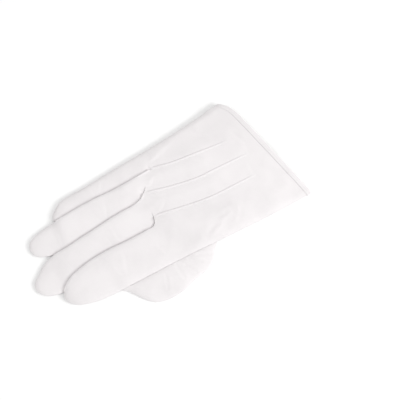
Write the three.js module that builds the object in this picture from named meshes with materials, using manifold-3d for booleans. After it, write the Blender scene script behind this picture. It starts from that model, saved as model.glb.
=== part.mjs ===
// White parade glove for the right hand, lying palm down with the back of the hand up.
// Millimetres, +Z up, +Y towards the fingertips, thumb at -X.
// The origin is under the middle of the glove's box, on the surface that it lies on.
import * as THREE from 'three';
import { mergeVertices } from 'three/addons/utils/BufferGeometryUtils.js';
import Module from 'manifold-3d';

// Hand sizes. Lengths run along +Y, finger and thumb lengths are counted from the knuckle line.
const PALM_LENGTH = 115.5;
const PALM_WIDTH = 104;
const WRIST_THICKNESS = 11;
const FINGER_THICKNESS = 7.2;
const INDEX_LENGTH = 110;
const MIDDLE_LENGTH = 129.5;
const RING_LENGTH = 117;
const LITTLE_LENGTH = 86.6;
const THUMB_LENGTH = 64;

// Cloth
const CLOTH_WALL = 1.2;
const PIECE_GAP = 0.3;
const FINGER_GAP = 0.5;
const REST_FLAT = 0.25;
const ROOT_LIFT = 0.9;

// Hem, back points, fourchettes, vent
const HEM_DEPTH = 5;
const HEM_EXTRA = 0.35;
const POINT_WIDTH = 1.8;
const POINT_HEIGHT = 0.9;
const FOURCHETTE_WIDTH = 3.2;
const FINGER_LAP = 7;
const VENT_LENGTH = 74;
const VENT_MOUTH = 8;
const VENT_END = 1.4;
const FLAP_CORNER = 13;

// Snap fastener
const SNAP_FROM_HEM = 24;
const SNAP_FROM_VENT = 9;
const SNAP_LIFT = 2;
const CAP_DIAMETER = 12.6;
const STUD_DIAMETER = 8;
const STUD_NUB_DIAMETER = 4.2;
const POST_DIAMETER = 3.2;
const FLANGE_DIAMETER = 7.6;
const FLANGE_THICKNESS = 0.8;

// Shape of a section: exponent of its upper and lower half, height of its side seam
const TOP_ROUND = 2.3;
const BOTTOM_ROUND = 3.2;
const SEAM_SHARE = 0.49;
const TIP_ROUND = 2.4;
const SEAM_HEIGHT = SEAM_SHARE * FINGER_THICKNESS;

// Facets round a section and along the hand
const PALM_SIDES = 26;
const PALM_HOLLOW_SIDES = 18;
const PALM_STEPS = 8;
const DIGIT_SIDES = 14;
const DIGIT_HOLLOW_SIDES = 10;
const PARTING_STEPS = 6;
const ROUND_SIDES = 16;
const FINEST_DETAIL = 0.04;

// Palm sections: along is a share of the palm's length, left and right of its width,
// low of the snap's lift, high of the wrist's thickness, shear is the slant of the section.
const PALM = [
  { along: 0.00, left: -0.531, right: 0.546, low: 0.55, high: 0.96, shear: 0.225 },
  { along: 0.14, left: -0.526, right: 0.545, low: 1.00, high: 1.00, shear: 0.190 },
  { along: 0.30, left: -0.518, right: 0.536, low: 0.96, high: 0.99, shear: 0.140 },
  { along: 0.50, left: -0.503, right: 0.524, low: 0.00, high: 0.95, shear: 0.070 },
  { along: 0.68, left: -0.490, right: 0.515, low: 0.00, high: 0.90, shear: 0.015 },
  { along: 0.80, left: -0.480, right: 0.511, low: 0.00, high: 0.80, shear: 0.000 },
  { along: 0.90, left: -0.470, right: 0.505, low: 0.10, high: 0.52, shear: 0.000 },
];

// Finger and thumb sections: along is a share of the digit's length past the knuckle line,
// left and right of the palm's width, thick of the finger's thickness, tilt the rise towards +X.
const INDEX = [
  { along: -0.25, left: -0.425, right: -0.130, thick: 1.08, tilt: 0.00 },
  { along: 0.00, left: -0.464, right: -0.104, thick: 1.08, tilt: 0.02 },
  { along: 0.16, left: -0.458, right: -0.100, thick: 1.03, tilt: 0.02 },
  { along: 0.35, left: -0.450, right: -0.096, thick: 1.00, tilt: 0.02 },
  { along: 0.64, left: -0.435, right: -0.085, thick: 1.00, tilt: 0.02 },
  { along: 0.80, left: -0.414, right: -0.106, thick: 0.95, tilt: 0.02 },
  { along: 0.91, left: -0.394, right: -0.135, thick: 0.88, tilt: 0.02 },
  { along: 1.00, left: -0.346, right: -0.192, thick: 0.78, tilt: 0.02 },
];
const MIDDLE = [
  { along: -0.20, left: -0.150, right: 0.150, thick: 1.12, tilt: 0.00 },
  { along: 0.00, left: -0.160, right: 0.170, thick: 1.10, tilt: 0.02 },
  { along: 0.09, left: -0.163, right: 0.150, thick: 1.05, tilt: 0.02 },
  { along: 0.22, left: -0.159, right: 0.146, thick: 1.00, tilt: 0.02 },
  { along: 0.43, left: -0.150, right: 0.132, thick: 1.00, tilt: 0.02 },
  { along: 0.66, left: -0.173, right: 0.111, thick: 0.98, tilt: 0.02 },
  { along: 0.82, left: -0.208, right: 0.103, thick: 0.92, tilt: 0.02 },
  { along: 1.00, left: -0.178, right: 0.015, thick: 0.78, tilt: 0.02 },
];
const RING = [
  { along: -0.22, left: 0.100, right: 0.345, thick: 1.08, tilt: 0.00 },
  { along: 0.00, left: 0.110, right: 0.351, thick: 1.08, tilt: 0.02 },
  { along: 0.09, left: 0.096, right: 0.348, thick: 1.04, tilt: 0.02 },
  { along: 0.25, left: 0.087, right: 0.348, thick: 1.00, tilt: 0.02 },
  { along: 0.50, left: 0.077, right: 0.365, thick: 1.00, tilt: 0.02 },
  { along: 0.72, left: 0.077, right: 0.362, thick: 0.96, tilt: 0.02 },
  { along: 0.86, left: 0.096, right: 0.354, thick: 0.90, tilt: 0.02 },
  { along: 1.00, left: 0.154, right: 0.327, thick: 0.78, tilt: 0.02 },
];
const LITTLE = [
  { along: -0.45, left: 0.310, right: 0.470, thick: 0.78, tilt: 0.00 },
  { along: -0.14, left: 0.305, right: 0.507, thick: 0.98, tilt: 0.02 },
  { along: 0.00, left: 0.303, right: 0.510, thick: 1.00, tilt: 0.02 },
  { along: 0.29, left: 0.298, right: 0.502, thick: 1.00, tilt: 0.02 },
  { along: 0.59, left: 0.303, right: 0.493, thick: 0.98, tilt: 0.02 },
  { along: 0.76, left: 0.308, right: 0.498, thick: 0.92, tilt: 0.02 },
  { along: 1.00, left: 0.288, right: 0.423, thick: 0.78, tilt: 0.02 },
];
const THUMB = [
  { along: -0.78, left: -0.423, right: -0.231, thick: 0.95, tilt: 0.00 },
  { along: -0.53, left: -0.485, right: -0.270, thick: 0.98, tilt: 0.00 },
  { along: -0.34, left: -0.591, right: -0.340, thick: 1.00, tilt: 0.00 },
  { along: -0.18, left: -0.652, right: -0.350, thick: 1.00, tilt: 0.00 },
  { along: 0.00, left: -0.678, right: -0.385, thick: 1.00, tilt: 0.00 },
  { along: 0.25, left: -0.712, right: -0.412, thick: 1.00, tilt: 0.00 },
  { along: 0.48, left: -0.708, right: -0.423, thick: 1.00, tilt: 0.00 },
  { along: 0.66, left: -0.673, right: -0.418, thick: 0.96, tilt: 0.00 },
  { along: 0.84, left: -0.565, right: -0.407, thick: 0.88, tilt: 0.00 },
  { along: 1.00, left: -0.470, right: -0.395, thick: 0.78, tilt: 0.00 },
];
// Round is the length of the rounded tip as a share of the digit's length.
const DIGITS = [
  { name: 'index', length: INDEX_LENGTH, rows: INDEX, round: 0.145, steps: 6 },
  { name: 'middle', length: MIDDLE_LENGTH, rows: MIDDLE, round: 0.170, steps: 6 },
  { name: 'ring', length: RING_LENGTH, rows: RING, round: 0.120, steps: 6 },
  { name: 'little', length: LITTLE_LENGTH, rows: LITTLE, round: 0.208, steps: 5 },
  { name: 'thumb', length: THUMB_LENGTH, rows: THUMB, round: 0.140, steps: 9 },
];

// Lines between two digits, on the back: along is a share of the lower digit's length past the
// knuckle line, across of the palm's width. The side named by lap lies on top of the other.
const PARTINGS = [
  {
    name: 'index_middle', length: INDEX_LENGTH, lap: 1,
    rows: [
      { along: 0.060, across: -0.092 }, { along: 0.110, across: -0.102 },
      { along: 0.330, across: -0.097 }, { along: 0.500, across: -0.083 },
      { along: 0.640, across: -0.085 }, { along: 0.790, across: -0.104 },
      { along: 0.882, across: -0.130 }, { along: 0.950, across: -0.172 },
      { along: 0.995, across: -0.222 }, { along: 1.035, across: -0.308 },
    ],
  },
  {
    name: 'middle_ring', length: RING_LENGTH, lap: 1,
    rows: [
      { along: 0.030, across: 0.172 }, { along: 0.068, across: 0.158 },
      { along: 0.124, across: 0.144 }, { along: 0.240, across: 0.147 },
      { along: 0.480, across: 0.131 }, { along: 0.737, across: 0.111 },
      { along: 0.855, across: 0.111 }, { along: 0.930, across: 0.100 },
      { along: 1.020, across: 0.062 },
    ],
  },
  {
    name: 'ring_little', length: LITTLE_LENGTH, lap: 1,
    rows: [
      { along: -0.130, across: 0.346 }, { along: 0.000, across: 0.347 },
      { along: 0.315, across: 0.348 }, { along: 0.470, across: 0.363 },
      { along: 0.675, across: 0.366 }, { along: 1.030, across: 0.361 },
    ],
  },
  {
    name: 'thumb_index', length: THUMB_LENGTH, lap: -1,
    rows: [
      { along: 0.000, across: -0.464 }, { along: 0.280, across: -0.458 },
      { along: 0.600, across: -0.449 }, { along: 0.940, across: -0.438 },
      { along: 1.150, across: -0.432 },
    ],
  },
];

// Raised points of the back: along is a share of the palm's length, across of its width
const POINTS = [
  {
    name: 'index_middle',
    rows: [
      { along: 1.000, across: -0.034 }, { along: 0.876, across: -0.068 },
      { along: 0.676, across: -0.116 }, { along: 0.552, across: -0.136 },
      { along: 0.332, across: -0.147 }, { along: 0.170, across: -0.158 },
    ],
  },
  {
    name: 'middle_ring',
    rows: [
      { along: 0.975, across: 0.176 }, { along: 0.783, across: 0.113 },
      { along: 0.583, across: 0.066 }, { along: 0.450, across: 0.058 },
      { along: 0.276, across: 0.047 }, { along: 0.235, across: 0.040 },
    ],
  },
  {
    name: 'ring_little',
    rows: [
      { along: 0.868, across: 0.347 }, { along: 0.713, across: 0.298 },
      { along: 0.564, across: 0.272 }, { along: 0.374, across: 0.240 },
      { along: 0.297, across: 0.232 },
    ],
  },
];

// Soft folds of the back: ends as shares of the palm's width and length, spread of its width,
// rise of the wrist's thickness
const FOLDS = [
  { across: -0.284, along: 0.55, toAcross: -0.436, toAlong: 0.83, spread: 0.050, rise: 0.080 },
  { across: -0.350, along: 0.30, toAcross: 0.420, toAlong: 0.36, spread: 0.110, rise: -0.060 },
  { across: -0.020, along: 0.45, toAcross: 0.040, toAlong: 0.85, spread: 0.060, rise: 0.045 },
  { across: 0.170, along: 0.50, toAcross: 0.250, toAlong: 0.80, spread: 0.050, rise: 0.040 },
  { across: 0.420, along: 0.25, toAcross: 0.400, toAlong: 0.70, spread: 0.070, rise: -0.050 },
  { across: -0.060, along: 0.02, toAcross: 0.240, toAlong: 0.10, spread: 0.090, rise: 0.050 },
];

const wasm = await Module();
wasm.setup();

// Value of one column of a table at a place along it, as a smooth curve through the rows
function columnAt(rows, name, along) {
  const last = rows.length - 1;
  let i = 0;
  while (i < last - 1 && rows[i + 1].along < along) i += 1;
  const slope = (j) => {
    const before = rows[Math.max(j - 1, 0)];
    const after = rows[Math.min(j + 1, last)];
    return (after[name] - before[name]) / (after.along - before.along);
  };
  const span = rows[i + 1].along - rows[i].along;
  const t = THREE.MathUtils.clamp((along - rows[i].along) / span, 0, 1);
  const t2 = t * t;
  const t3 = t2 * t;
  return (
    (2 * t3 - 3 * t2 + 1) * rows[i][name]
    + (t3 - 2 * t2 + t) * span * slope(i)
    + (3 * t2 - 2 * t3) * rows[i + 1][name]
    + (t3 - t2) * span * slope(i + 1)
  );
}

// A closed mesh as a solid
function solidOf(positions, indices) {
  const solid = new wasm.Manifold(new wasm.Mesh({
    numProp: 3,
    vertProperties: new Float32Array(positions),
    triVerts: new Uint32Array(indices),
    tolerance: FINEST_DETAIL,
  }));
  return solid;
}

function solidOfGeometry(source) {
  const bare = source.clone();
  bare.deleteAttribute('normal');
  bare.deleteAttribute('uv');
  const merged = mergeVertices(bare, 1e-4);
  return solidOf(merged.attributes.position.array, merged.index.array);
}

// Skin through rings of points, closed at both ends
function loft(rings) {
  const count = rings[0].length;
  const positions = [];
  const indices = [];
  rings.forEach((ring) => ring.forEach((p) => positions.push(p.x, p.y, p.z)));
  for (let i = 0; i + 1 < rings.length; i += 1) {
    for (let k = 0; k < count; k += 1) {
      const a = i * count + k;
      const b = i * count + ((k + 1) % count);
      indices.push(a, a + count, b, b, a + count, b + count);
    }
  }
  [0, rings.length - 1].forEach((i) => {
    const middle = new THREE.Vector3();
    rings[i].forEach((p) => middle.addScaledVector(p, 1 / count));
    const hub = positions.length / 3;
    positions.push(middle.x, middle.y, middle.z);
    for (let k = 0; k < count; k += 1) {
      const a = i * count + k;
      const b = i * count + ((k + 1) % count);
      if (i === 0) indices.push(hub, a, b);
      else indices.push(hub, b, a);
    }
  });
  return solidOf(positions, indices);
}

function foldRise(x, y) {
  let rise = 0;
  FOLDS.forEach((fold) => {
    const ax = fold.across * PALM_WIDTH;
    const ay = fold.along * PALM_LENGTH;
    const bx = fold.toAcross * PALM_WIDTH - ax;
    const by = fold.toAlong * PALM_LENGTH - ay;
    const share = THREE.MathUtils.clamp(((x - ax) * bx + (y - ay) * by) / (bx * bx + by * by), 0, 1);
    const away = Math.hypot(x - ax - share * bx, y - ay - share * by) / (fold.spread * PALM_WIDTH);
    rise += fold.rise * WRIST_THICKNESS * Math.exp(-away * away);
  });
  return rise;
}

// One section: a flattened oval between left and right, low and high, set in by the wall
function sectionRing(section, inset, count) {
  const { left, right, low, high, y, shear, tilt, folded } = section;
  const centre = (left + right) / 2;
  const seam = low + SEAM_SHARE * (high - low);
  const floor = inset > 0 ? REST_FLAT : 0;
  const place = (k, setIn, lift) => {
    const turn = (2 * Math.PI * k) / count;
    const c = Math.cos(turn);
    const s = Math.sin(turn);
    const round = s >= 0 ? TOP_ROUND : BOTTOM_ROUND;
    const tall = s >= 0 ? high - seam - setIn : seam - low - setIn - (setIn ? floor : 0);
    const wide = (right - left) / 2 - setIn;
    const x = centre + wide * Math.sign(c) * Math.abs(c) ** (2 / round);
    const rise = Math.max(tall, 0.2) * Math.sign(s) * Math.abs(s) ** (2 / round);
    const fold = folded && s > 0 ? foldRise(x, y + shear * x) * s : 0;
    return new THREE.Vector3(x, y + shear * x, seam + rise + fold + tilt * (x - centre) + lift);
  };
  let lowest = Infinity;
  for (let k = 0; k < count; k += 1) lowest = Math.min(lowest, place(k, 0, 0).z);
  const ring = [];
  for (let k = 0; k < count; k += 1) ring.push(place(k, inset, low - lowest));
  return ring;
}

// Palm between two places along it, given in millimetres from the hem
function palm(inset, from, to, steps) {
  const rings = [];
  for (let i = 0; i <= steps; i += 1) {
    const y = THREE.MathUtils.lerp(from, to, i / steps);
    const along = THREE.MathUtils.clamp(y / PALM_LENGTH, 0, PALM.at(-1).along);
    rings.push(sectionRing({
      left: columnAt(PALM, 'left', along) * PALM_WIDTH,
      right: columnAt(PALM, 'right', along) * PALM_WIDTH,
      low: columnAt(PALM, 'low', along) * SNAP_LIFT - REST_FLAT,
      high: columnAt(PALM, 'high', along) * WRIST_THICKNESS,
      shear: columnAt(PALM, 'shear', along),
      y,
      tilt: 0,
      folded: true,
    }, inset, inset > 0 ? PALM_HOLLOW_SIDES : PALM_SIDES));
  }
  return loft(rings);
}

// Finger or thumb from its root inside the palm to its round tip
function digit({ length, rows, round, steps }, inset) {
  const root = rows[0].along * length;
  const shoulder = (1 - round) * length;
  const stops = [];
  for (let i = 0; i <= steps; i += 1) {
    stops.push({ y: THREE.MathUtils.lerp(root, shoulder, i / steps), t: 0 });
  }
  [0.42, 0.7, 0.89, 0.98].forEach((t) => {
    stops.push({ y: shoulder + t * (round * length - inset), t });
  });
  const rings = stops.map(({ y, t }) => {
    const along = y / length;
    const left = columnAt(rows, 'left', along) * PALM_WIDTH;
    const right = columnAt(rows, 'right', along) * PALM_WIDTH;
    const narrow = (1 - t ** TIP_ROUND) ** (1 / TIP_ROUND);
    const flat = (1 - t ** (2 * TIP_ROUND)) ** (1 / TIP_ROUND);
    const centre = (left + right) / 2;
    const half = ((right - left) / 2 - inset) * narrow + inset;
    const thick = columnAt(rows, 'thick', along) * FINGER_THICKNESS * (0.45 + 0.55 * flat);
    return sectionRing({
      left: centre - half,
      right: centre + half,
      low: ROOT_LIFT * (1 - THREE.MathUtils.smoothstep(y, root, 0)) - REST_FLAT,
      high: thick,
      shear: 0,
      y: PALM_LENGTH + y,
      tilt: columnAt(rows, 'tilt', along),
      folded: false,
    }, inset, inset > 0 ? DIGIT_HOLLOW_SIDES : DIGIT_SIDES);
  });
  return loft(rings);
}

// Upright or leaning band that follows a line seen from above
function ribbon(line, halfWidth, low, high, lean, shear = 0) {
  const rings = line.map((p, i) => {
    const before = line[Math.max(i - 1, 0)];
    const after = line[Math.min(i + 1, line.length - 1)];
    const way = new THREE.Vector2(after.x - before.x, after.y - before.y).normalize();
    const side = new THREE.Vector2(way.y, -way.x);
    const share = i / (line.length - 1);
    const wide = typeof halfWidth === 'function' ? halfWidth(share, p) : halfWidth;
    const corner = (across, z) => new THREE.Vector3(
      p.x + side.x * (across + lean * (z - FINGER_THICKNESS)),
      p.y + side.y * (across + lean * (z - FINGER_THICKNESS)) + shear * across,
      z,
    );
    return [corner(wide, low), corner(wide, high), corner(-wide, high), corner(-wide, low)];
  });
  return loft(rings);
}

function lineOf(rows, length, base, steps, from = 0, to = 1) {
  const first = rows[0].along;
  const last = rows.at(-1).along;
  const rising = last > first ? rows : [...rows].reverse();
  const line = [];
  for (let i = 0; i <= steps; i += 1) {
    const along = THREE.MathUtils.lerp(first, last, THREE.MathUtils.lerp(from, to, i / steps));
    line.push(new THREE.Vector2(columnAt(rising, 'across', along) * PALM_WIDTH, base + along * length));
  }
  return line;
}

// Solid of revolution about +Z, standing at a place on the palm
function turned(profile, x, y) {
  const points = profile.map(([r, z]) => new THREE.Vector2(r, z));
  const shape = new THREE.LatheGeometry(points, ROUND_SIDES);
  shape.rotateX(Math.PI / 2);
  shape.translate(x, y, 0);
  const solid = solidOfGeometry(shape);
  return solid;
}

function joined(solids) {
  return solids.reduce((sum, next) => sum.add(next));
}

function largest(solid) {
  const bodies = solid.decompose();
  return bodies.reduce((best, next) => (next.volume() > best.volume() ? next : best));
}

// Block under everything, up to the surface that the glove lies on
function ground(depth) {
  const block = new THREE.BoxGeometry(4 * PALM_WIDTH, 6 * PALM_LENGTH, depth);
  block.translate(0, 0, -depth / 2);
  return solidOfGeometry(block);
}

// Height of the side seam at a place along the hand
function seamAt(y) {
  const knuckles = 0.76 * PALM_LENGTH;
  const along = THREE.MathUtils.clamp(y, 0, knuckles) / PALM_LENGTH;
  const low = columnAt(PALM, 'low', along) * SNAP_LIFT - REST_FLAT;
  const high = columnAt(PALM, 'high', along) * WRIST_THICKNESS;
  const onPalm = low + SEAM_SHARE * (high - low);
  const past = THREE.MathUtils.smoothstep(y, knuckles, 1.04 * PALM_LENGTH);
  return THREE.MathUtils.lerp(onPalm, SEAM_HEIGHT, past);
}

// Everything above or below the side seam, half a gap clear of it
function seamSide(sign) {
  const rings = [];
  for (let i = 0; i <= 16; i += 1) {
    const y = THREE.MathUtils.lerp(-PALM_LENGTH / 2, 1.4 * PALM_LENGTH, i / 16);
    const along = THREE.MathUtils.clamp(y / PALM_LENGTH, 0, PALM.at(-1).along);
    const shear = columnAt(PALM, 'shear', along);
    const near = seamAt(y) + (sign * PIECE_GAP) / 2;
    const far = near + sign * 4 * WRIST_THICKNESS;
    const corner = (side, z) => new THREE.Vector3(
      side * PALM_WIDTH,
      (i === 16 ? 4 * PALM_LENGTH : y) + shear * side * PALM_WIDTH,
      z,
    );
    const ends = sign > 0 ? [near, far] : [far, near];
    rings.push([corner(1, ends[0]), corner(1, ends[1]), corner(-1, ends[1]), corner(-1, ends[0])]);
  }
  return loft(rings);
}

// Outer skin and hollow of the whole hand
const palmEnd = PALM.at(-1).along * PALM_LENGTH;
const panelStart = HEM_DEPTH + PIECE_GAP;
const digitSkins = DIGITS.map((one) => digit(one, 0));
const digitHollows = DIGITS.map((one) => digit(one, CLOTH_WALL));
const palmSkin = palm(0, panelStart, palmEnd, PALM_STEPS);
const palmHollow = palm(CLOTH_WALL, -HEM_DEPTH, palmEnd - CLOTH_WALL, PALM_STEPS);
const lean = FINGER_LAP / FINGER_THICKNESS;
const slant = Math.hypot(1, lean);

function parting(index, halfWidth, low, high, from, to) {
  const { rows, length, lap } = PARTINGS[index];
  return ribbon(
    lineOf(rows, length, PALM_LENGTH, PARTING_STEPS, from, to),
    halfWidth * slant,
    low,
    high,
    lap * lean,
  );
}

const under = -2 * FINGER_THICKNESS;
const over = 3 * FINGER_THICKNESS;
const slots = joined(PARTINGS.map((_, i) => parting(i, FINGER_GAP / 2, under, over, 0, 1)));
const slotWalls = joined(PARTINGS.map((_, i) => (
  parting(i, FINGER_GAP / 2 + CLOTH_WALL, under, over, -0.02, 1)
)));

// Raised points follow the skin of the back
const grown = joined([
  palm(-POINT_HEIGHT, panelStart, palmEnd, PALM_STEPS),
  ...DIGITS.slice(0, 3).map((one) => digit(one, -POINT_HEIGHT)),
]);
const pointBands = joined(POINTS.map(({ rows }) => ribbon(
  lineOf(rows, PALM_LENGTH, 0, PARTING_STEPS),
  (share) => (POINT_WIDTH / 2) * (0.35 + 0.65 * Math.sin(Math.PI * share)),
  FINGER_THICKNESS * 0.8,
  over,
  0,
)));

const hollow = joined([palmHollow, ...digitHollows]).subtract(slotWalls);
const skin = joined([palmSkin, ...digitSkins, grown.intersect(pointBands)]).subtract(slots);
const below = ground(-under);
const cloth = skin.subtract(hollow).subtract(below);

// Thumb: the part of the cloth outside the hand, cut clear of it
const clearHand = joined([
  palm(-PIECE_GAP, panelStart, palmEnd, PALM_STEPS),
  digit(DIGITS[0], -PIECE_GAP),
]);
const thumbZone = digit(DIGITS[4], -PIECE_GAP / 2).subtract(clearHand);
const handZone = digit(DIGITS[4], -PIECE_GAP).subtract(joined([palmSkin, digitSkins[0]]));
const thumb = largest(cloth.intersect(thumbZone));
const hand = cloth.subtract(handZone);

// Fourchettes: the strips between two fingers, with the fold at the fork
const bandLow = SEAM_HEIGHT - FOURCHETTE_WIDTH / 2;
const bandHigh = SEAM_HEIGHT + FOURCHETTE_WIDTH / 2;
const wallBand = FINGER_GAP / 2 + CLOTH_WALL;
const fourchettes = PARTINGS.slice(0, 3).map(({ name }, i) => ({
  name: `fourchette_${name}`,
  solid: largest(hand.intersect(parting(i, wallBand, bandLow, bandHigh, -0.02, 0.84))),
}));
const fourchetteRoom = joined(PARTINGS.slice(0, 3).map((_, i) => parting(
  i,
  wallBand + PIECE_GAP,
  bandLow - PIECE_GAP,
  bandHigh + PIECE_GAP,
  -0.03,
  0.845,
)));

// Vent of the palm side with round flap corners
function ventHalf(y) {
  const straight = THREE.MathUtils.lerp(VENT_MOUTH, VENT_END, Math.max(y, 0) / VENT_LENGTH) / 2;
  const short = THREE.MathUtils.clamp(1 - y / FLAP_CORNER, 0, 1);
  return straight + FLAP_CORNER * (1 - Math.sqrt(1 - short * short));
}
const ventStops = [-HEM_DEPTH];
[0, 0.06, 0.18, 0.38, 0.65, 1].forEach((share) => ventStops.push(share * FLAP_CORNER));
ventStops.push((FLAP_CORNER + VENT_LENGTH) / 2, VENT_LENGTH);
const ventLine = ventStops.map((y) => new THREE.Vector2(0, y));
const vent = ribbon(ventLine, (share, p) => ventHalf(p.y), under, WRIST_THICKNESS * 0.5, 0, PALM[0].shear);

// Snap: head below the cloth, post through it, flange inside
const clothLow = SNAP_LIFT - REST_FLAT;
const clothHigh = SNAP_LIFT + CLOTH_WALL;
const headTop = clothLow - PIECE_GAP;
const flangeLow = clothHigh + PIECE_GAP;
const flangeHigh = flangeLow + FLANGE_THICKNESS;
function snapHalf(head, x) {
  return turned([
    ...head,
    [POST_DIAMETER / 2, headTop],
    [POST_DIAMETER / 2, flangeLow],
    [FLANGE_DIAMETER / 2, flangeLow],
    [FLANGE_DIAMETER / 2, flangeHigh],
    [0, flangeHigh],
  ], x, SNAP_FROM_HEM);
}
const snapCap = snapHalf([
  [0, 0],
  [CAP_DIAMETER * 0.36, 0],
  [CAP_DIAMETER * 0.46, headTop * 0.22],
  [CAP_DIAMETER / 2, headTop * 0.6],
  [CAP_DIAMETER / 2, headTop],
], SNAP_FROM_VENT);
const snapStud = snapHalf([
  [0, 0],
  [STUD_NUB_DIAMETER / 2, 0],
  [STUD_NUB_DIAMETER / 2, headTop * 0.55],
  [STUD_DIAMETER / 2, headTop * 0.62],
  [STUD_DIAMETER / 2, headTop],
], -SNAP_FROM_VENT);
const snapHoles = joined([-SNAP_FROM_VENT, SNAP_FROM_VENT].map((x) => turned([
  [0, -1],
  [POST_DIAMETER / 2 + PIECE_GAP, -1],
  [POST_DIAMETER / 2 + PIECE_GAP, flangeHigh],
  [0, flangeHigh],
], x, SNAP_FROM_HEM)));

// Panels part along the side seam
const panels = hand.subtract(fourchetteRoom);
const backPanel = largest(panels.intersect(seamSide(1)));
const palmPanel = largest(panels.intersect(seamSide(-1)).subtract(vent).subtract(snapHoles));

// Hem: a thicker band that carries on where both panels end
const hemBand = palm(-HEM_EXTRA, 0, HEM_DEPTH, 2)
  .subtract(palm(CLOTH_WALL + HEM_EXTRA, -HEM_DEPTH, 2 * HEM_DEPTH, 4))
  .subtract(below)
  .subtract(vent);

const COTTON = { color: 0xf1eeef, roughness: 0.92, metalness: 0 };
const COTTON_SEWN = { color: 0xece9ea, roughness: 0.94, metalness: 0 };
const PEARL = { color: 0xe9e6df, roughness: 0.22, metalness: 0.05 };
const BRASS = { color: 0xc9a24a, roughness: 0.32, metalness: 1 };
const PIECES = [
  { name: 'back_panel', solid: backPanel, finish: COTTON },
  { name: 'palm_panel', solid: palmPanel, finish: COTTON },
  { name: 'thumb', solid: thumb, finish: COTTON },
  ...fourchettes.map(({ name, solid }) => ({ name, solid, finish: COTTON_SEWN })),
  { name: 'wrist_hem', solid: largest(hemBand), finish: COTTON_SEWN },
  { name: 'snap_cap', solid: snapCap, finish: PEARL },
  { name: 'snap_stud', solid: snapStud, finish: BRASS },
];

const group = new THREE.Group();
group.name = 'parade_glove';
PIECES.forEach(({ name, solid, finish }) => {
  const { vertProperties, triVerts, numProp } = solid.getMesh();
  const surface = new THREE.BufferGeometry();
  const positions = new Float32Array((vertProperties.length / numProp) * 3);
  for (let i = 0; i < positions.length / 3; i += 1) {
    for (let axis = 0; axis < 3; axis += 1) positions[3 * i + axis] = vertProperties[numProp * i + axis];
  }
  surface.setAttribute('position', new THREE.BufferAttribute(positions, 3));
  surface.setIndex(new THREE.BufferAttribute(new Uint32Array(triVerts), 1));
  const mesh = new THREE.Mesh(surface, new THREE.MeshStandardMaterial(finish));
  mesh.name = name;
  group.add(mesh);
});

// The origin goes under the middle of the glove's box
const middle = new THREE.Box3().setFromObject(group).getCenter(new THREE.Vector3());
group.children.forEach((mesh) => mesh.geometry.translate(-middle.x, -middle.y, 0));
group.children.forEach((mesh) => mesh.geometry.computeVertexNormals());

export default group;
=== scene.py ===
import math

import bpy
import numpy as np
from mathutils import Matrix, Vector, noise
from mathutils.bvhtree import BVHTree


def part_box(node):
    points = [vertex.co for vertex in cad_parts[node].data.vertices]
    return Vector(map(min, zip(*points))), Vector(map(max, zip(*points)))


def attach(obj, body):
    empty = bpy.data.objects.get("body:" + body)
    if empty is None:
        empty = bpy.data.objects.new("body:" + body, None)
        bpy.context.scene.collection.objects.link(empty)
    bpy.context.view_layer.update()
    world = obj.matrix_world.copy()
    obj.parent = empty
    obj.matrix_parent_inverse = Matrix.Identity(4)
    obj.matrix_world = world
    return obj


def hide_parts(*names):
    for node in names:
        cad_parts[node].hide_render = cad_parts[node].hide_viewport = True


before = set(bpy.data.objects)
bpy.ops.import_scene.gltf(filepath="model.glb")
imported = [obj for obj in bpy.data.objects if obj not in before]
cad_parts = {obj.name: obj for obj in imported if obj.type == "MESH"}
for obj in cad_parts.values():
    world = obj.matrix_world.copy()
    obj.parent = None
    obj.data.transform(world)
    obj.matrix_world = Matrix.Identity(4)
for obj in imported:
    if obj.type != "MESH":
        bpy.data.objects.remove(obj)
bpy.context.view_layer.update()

# White parade glove for the right hand, palm down. Lengths are in millimetres from the middle of the
# wrist hem, with +Y towards the fingertips and the thumb at -X, and become metres in each mesh.
MM = 0.001
SNAP_FROM_VENT = 9.0
SNAP_FROM_HEM = 24.0
cap_low, cap_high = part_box("snap_cap")
ORIGIN_X = (cap_low[0] + cap_high[0]) / 2 / MM - SNAP_FROM_VENT
ORIGIN_Y = (cap_low[1] + cap_high[1]) / 2 / MM - SNAP_FROM_HEM

# Cloth, hem and vent
CLOTH = 0.8
THUMB_CLOTH = 0.7 * CLOTH
STRIP_CLOTH = 0.5
FLOOR_CLEAR = 0.2
LEAST_HEIGHT = 0.1
HEM_WIDTH = 4.2
HEM_SLANT = 0.225
HEM_CORNER = 6.3
VENT_LENGTH = 74.0
VENT_MOUTH = 8.0
VENT_END = 1.4
FLAP_CORNER = 13.0

# Heights of the seams, and how far one layer stands over the next
SEAM_LIP = 0.35
SEAM_OVER_THUMB = 0.9
FORK_HEIGHT = 5.6
FORK_DROP = 2.4
FORK_REACH = 7.0
FORK_DIP = 0.9
FORK_DIP_REACH = 6.5
STRIP_HEIGHT = 0.8
UNDER_GAP = 0.12
TUCKED_SEAM = 2.1
LAPPED_SEAM = 2.4
LAP_OVER_FINGER = 1.5
LAYER_CLEAR = 0.4
LAYER_FALL = 0.8
EDGE_ROUND = 2.3
UNDER_ROUND = 2.0

# Up, and the heights from which rays look for the cloth
UP = Vector((0, 0, 1))
FAR_ABOVE = 60.0
FAR_BELOW = -30.0

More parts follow.
